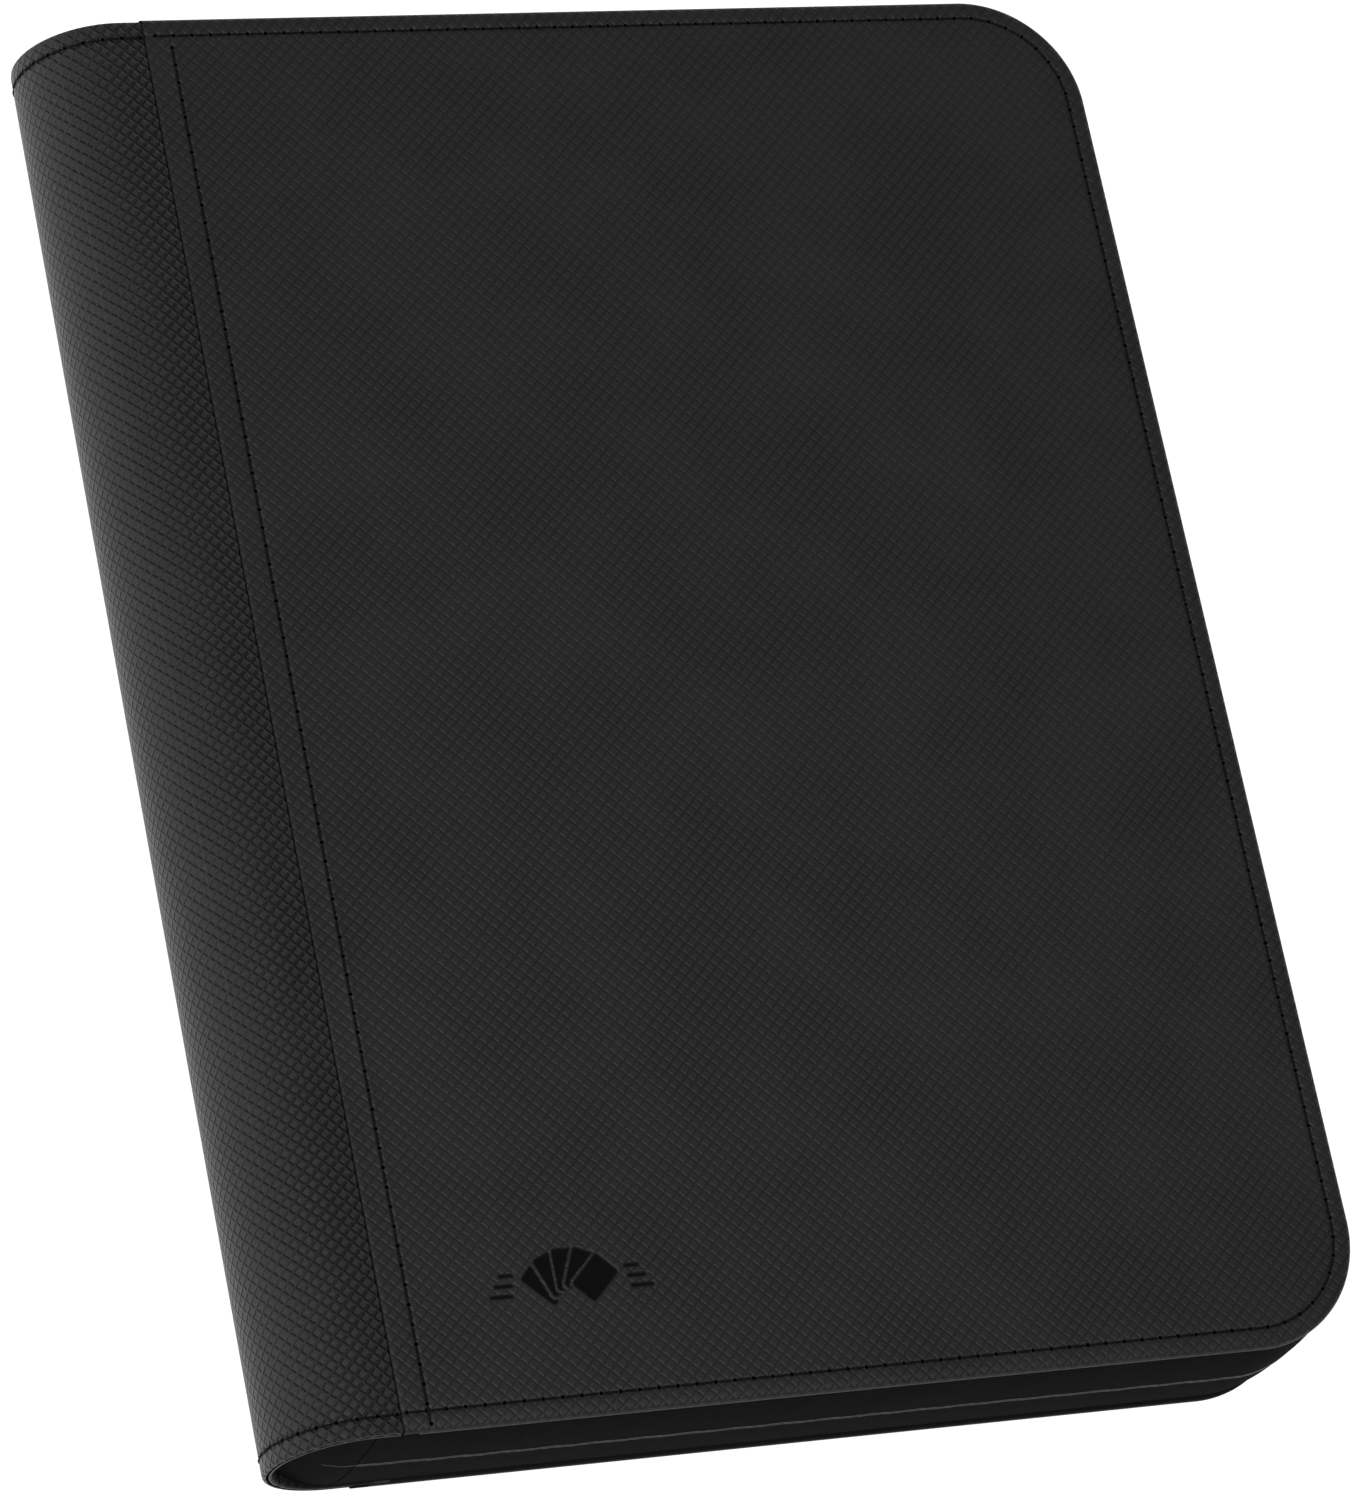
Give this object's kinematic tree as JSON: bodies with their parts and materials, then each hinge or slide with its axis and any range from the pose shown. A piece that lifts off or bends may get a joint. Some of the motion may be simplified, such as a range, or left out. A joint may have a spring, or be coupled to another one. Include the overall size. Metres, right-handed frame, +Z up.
{
  "type": "trading card binder",
  "caption": "Zip-round binder with rounded soft spine, padded covers and pocket pages for trading cards.",
  "frame": {"origin": "centre of the footprint, on the back cover's outer face", "axes": "+Y along the spine to the head, +X from spine to fore edge, +Z up through the thickness to the front cover"},
  "size_m": [0.266, 0.3533, 0.0435],
  "materials": {
    "skin": "embossed, satin",
    "board": "paperboard, matte",
    "lining": "woven, matte",
    "stiffener": "matte",
    "zip_tape": "woven, matte",
    "zip_coil": "glossy",
    "zip_metal": "black, satin",
    "grip": "matte",
    "page": "clear film over a dark core",
    "binding": "matte",
    "rivet": "brushed"
  },
  "bodies": {
    "back": {"back_skin": "skin", "back_board": "board", "back_lining": "lining", "back_spine_skin_flap": "skin", "back_spine_stiffener_flap": "stiffener", "lower_zip_tape": "zip_tape", "lower_zip_coil": "zip_coil", "lower_tape_stops": "zip_metal"},
    "stave_1": {"spine_skin_1": "skin", "spine_stiffener_1": "stiffener", "spine_lining_1": "lining"},
    "stave_2": {"spine_skin_2": "skin", "spine_stiffener_2": "stiffener", "spine_lining_2": "lining"},
    "spine": {"spine_skin_3": "skin", "spine_stiffener_3": "stiffener", "spine_lining_3": "lining", "zip_end_gussets": "zip_tape", "page_binding": "binding", "binding_rivets": "rivet"},
    "stave_4": {"spine_skin_4": "skin", "spine_stiffener_4": "stiffener", "spine_lining_4": "lining"},
    "stave_5": {"spine_skin_5": "skin", "spine_stiffener_5": "stiffener", "spine_lining_5": "lining"},
    "front": {"front_skin": "skin", "front_board": "board", "front_lining": "lining", "front_spine_skin_flap": "skin", "front_spine_stiffener_flap": "stiffener", "upper_zip_tape": "zip_tape", "upper_zip_coil": "zip_coil", "upper_tape_stops": "zip_metal"},
    "slider": {"slider_body": "zip_metal", "slider_bridge": "zip_metal"},
    "pull": {"pull_link": "zip_metal", "pull_grip": "grip"},
    "page_01": {"page_01": "page"},
    "page_02": {"page_02": "page"},
    "page_03": {"page_03": "page"},
    "page_04": {"page_04": "page"},
    "page_05": {"page_05": "page"},
    "page_06": {"page_06": "page"},
    "page_07": {"page_07": "page"},
    "page_08": {"page_08": "page"},
    "page_09": {"page_09": "page"},
    "page_10": {"page_10": "page"},
    "page_11": {"page_11": "page"},
    "page_12": {"page_12": "page"},
    "page_13": {"page_13": "page"},
    "page_14": {"page_14": "page"},
    "page_15": {"page_15": "page"},
    "page_16": {"page_16": "page"},
    "page_17": {"page_17": "page"},
    "page_18": {"page_18": "page"},
    "page_19": {"page_19": "page"},
    "page_20": {"page_20": "page"}
  },
  "joints": [
    {"name": "spine_turn", "type": "hinge", "parent": "back", "child": "spine", "pos_m": [-0.12853, 0, 0.00537], "axis": [0, -1, 0], "range_deg": [0, 90]},
    {"name": "cover_open", "type": "hinge", "parent": "spine", "child": "front", "pos_m": [-0.12853, 0, 0.03813], "axis": [0, -1, 0], "range_deg": [0, 90]},
    {"name": "stave_1_bend", "type": "hinge", "parent": "back", "child": "stave_1", "pos_m": [-0.12034, 0, 0.00198], "axis": [0, -1, 0], "range_deg": [0, 45.01]},
    {"name": "stave_2_bend", "type": "hinge", "parent": "spine", "child": "stave_2", "pos_m": [-0.13192, 0, 0.01356], "axis": [0, -1, 0], "range_deg": [-45.01, 0]},
    {"name": "stave_4_bend", "type": "hinge", "parent": "spine", "child": "stave_4", "pos_m": [-0.13192, 0, 0.02994], "axis": [0, -1, 0], "range_deg": [0, 45.01]},
    {"name": "stave_5_bend", "type": "hinge", "parent": "front", "child": "stave_5", "pos_m": [-0.12034, 0, 0.04152], "axis": [0, -1, 0], "range_deg": [-45.01, 0]},
    {"name": "page_01_turn", "type": "hinge", "parent": "spine", "child": "page_01", "pos_m": [-0.11115, 0, 0.02175], "axis": [0, -1, 0], "range_deg": [-81.44, 0]},
    {"name": "page_02_turn", "type": "hinge", "parent": "spine", "child": "page_02", "pos_m": [-0.11115, 0, 0.02175], "axis": [0, -1, 0], "range_deg": [-72.87, 0]},
    {"name": "page_03_turn", "type": "hinge", "parent": "spine", "child": "page_03", "pos_m": [-0.11115, 0, 0.02175], "axis": [0, -1, 0], "range_deg": [-64.3, 0]},
    {"name": "page_04_turn", "type": "hinge", "parent": "spine", "child": "page_04", "pos_m": [-0.11115, 0, 0.02175], "axis": [0, -1, 0], "range_deg": [-55.72, 0]},
    {"name": "page_05_turn", "type": "hinge", "parent": "spine", "child": "page_05", "pos_m": [-0.11115, 0, 0.02175], "axis": [0, -1, 0], "range_deg": [-47.15, 0]},
    {"name": "page_06_turn", "type": "hinge", "parent": "spine", "child": "page_06", "pos_m": [-0.11115, 0, 0.02175], "axis": [0, -1, 0], "range_deg": [-38.58, 0]},
    {"name": "page_07_turn", "type": "hinge", "parent": "spine", "child": "page_07", "pos_m": [-0.11115, 0, 0.02175], "axis": [0, -1, 0], "range_deg": [-30.01, 0]},
    {"name": "page_08_turn", "type": "hinge", "parent": "spine", "child": "page_08", "pos_m": [-0.11115, 0, 0.02175], "axis": [0, -1, 0], "range_deg": [-21.44, 0]},
    {"name": "page_09_turn", "type": "hinge", "parent": "spine", "child": "page_09", "pos_m": [-0.11115, 0, 0.02175], "axis": [0, -1, 0], "range_deg": [-12.87, 0]},
    {"name": "page_10_turn", "type": "hinge", "parent": "spine", "child": "page_10", "pos_m": [-0.11115, 0, 0.02175], "axis": [0, -1, 0], "range_deg": [-4.3, 0]},
    {"name": "page_11_turn", "type": "hinge", "parent": "spine", "child": "page_11", "pos_m": [-0.11115, 0, 0.02175], "axis": [0, -1, 0], "range_deg": [0, 4.3]},
    {"name": "page_12_turn", "type": "hinge", "parent": "spine", "child": "page_12", "pos_m": [-0.11115, 0, 0.02175], "axis": [0, -1, 0], "range_deg": [0, 12.87]},
    {"name": "page_13_turn", "type": "hinge", "parent": "spine", "child": "page_13", "pos_m": [-0.11115, 0, 0.02175], "axis": [0, -1, 0], "range_deg": [0, 21.44]},
    {"name": "page_14_turn", "type": "hinge", "parent": "spine", "child": "page_14", "pos_m": [-0.11115, 0, 0.02175], "axis": [0, -1, 0], "range_deg": [0, 30.01]},
    {"name": "page_15_turn", "type": "hinge", "parent": "spine", "child": "page_15", "pos_m": [-0.11115, 0, 0.02175], "axis": [0, -1, 0], "range_deg": [0, 38.58]},
    {"name": "page_16_turn", "type": "hinge", "parent": "spine", "child": "page_16", "pos_m": [-0.11115, 0, 0.02175], "axis": [0, -1, 0], "range_deg": [0, 47.15]},
    {"name": "page_17_turn", "type": "hinge", "parent": "spine", "child": "page_17", "pos_m": [-0.11115, 0, 0.02175], "axis": [0, -1, 0], "range_deg": [0, 55.72]},
    {"name": "page_18_turn", "type": "hinge", "parent": "spine", "child": "page_18", "pos_m": [-0.11115, 0, 0.02175], "axis": [0, -1, 0], "range_deg": [0, 64.3]},
    {"name": "page_19_turn", "type": "hinge", "parent": "spine", "child": "page_19", "pos_m": [-0.11115, 0, 0.02175], "axis": [0, -1, 0], "range_deg": [0, 72.87]},
    {"name": "page_20_turn", "type": "hinge", "parent": "spine", "child": "page_20", "pos_m": [-0.11115, 0, 0.02175], "axis": [0, -1, 0], "range_deg": [0, 81.44]},
    {"name": "slider_slide", "type": "slide", "parent": "back", "child": "slider", "axis": [1, 0, 0], "range_m": [0, 0.19]},
    {"name": "pull_turn", "type": "hinge", "parent": "slider", "child": "pull", "pos_m": [-0.09315, 0.1766, 0.02175], "axis": [0, 0, 1], "range_deg": [0, 180]}
  ],
  "couplings": [
    {"joint": "cover_open", "follows": "spine_turn", "ratio": 1},
    {"joint": "stave_1_bend", "follows": "spine_turn", "ratio": 0.5},
    {"joint": "stave_2_bend", "follows": "spine_turn", "ratio": -0.5},
    {"joint": "stave_4_bend", "follows": "spine_turn", "ratio": 0.5},
    {"joint": "stave_5_bend", "follows": "spine_turn", "ratio": -0.5},
    {"joint": "page_01_turn", "follows": "spine_turn", "ratio": -0.90476},
    {"joint": "page_02_turn", "follows": "spine_turn", "ratio": -0.80952},
    {"joint": "page_03_turn", "follows": "spine_turn", "ratio": -0.71429},
    {"joint": "page_04_turn", "follows": "spine_turn", "ratio": -0.61905},
    {"joint": "page_05_turn", "follows": "spine_turn", "ratio": -0.52381},
    {"joint": "page_06_turn", "follows": "spine_turn", "ratio": -0.42857},
    {"joint": "page_07_turn", "follows": "spine_turn", "ratio": -0.33333},
    {"joint": "page_08_turn", "follows": "spine_turn", "ratio": -0.2381},
    {"joint": "page_09_turn", "follows": "spine_turn", "ratio": -0.14286},
    {"joint": "page_10_turn", "follows": "spine_turn", "ratio": -0.047619},
    {"joint": "page_11_turn", "follows": "spine_turn", "ratio": 0.047619},
    {"joint": "page_12_turn", "follows": "spine_turn", "ratio": 0.14286},
    {"joint": "page_13_turn", "follows": "spine_turn", "ratio": 0.2381},
    {"joint": "page_14_turn", "follows": "spine_turn", "ratio": 0.33333},
    {"joint": "page_15_turn", "follows": "spine_turn", "ratio": 0.42857},
    {"joint": "page_16_turn", "follows": "spine_turn", "ratio": 0.52381},
    {"joint": "page_17_turn", "follows": "spine_turn", "ratio": 0.61905},
    {"joint": "page_18_turn", "follows": "spine_turn", "ratio": 0.71429},
    {"joint": "page_19_turn", "follows": "spine_turn", "ratio": 0.80952},
    {"joint": "page_20_turn", "follows": "spine_turn", "ratio": 0.90476}
  ]
}
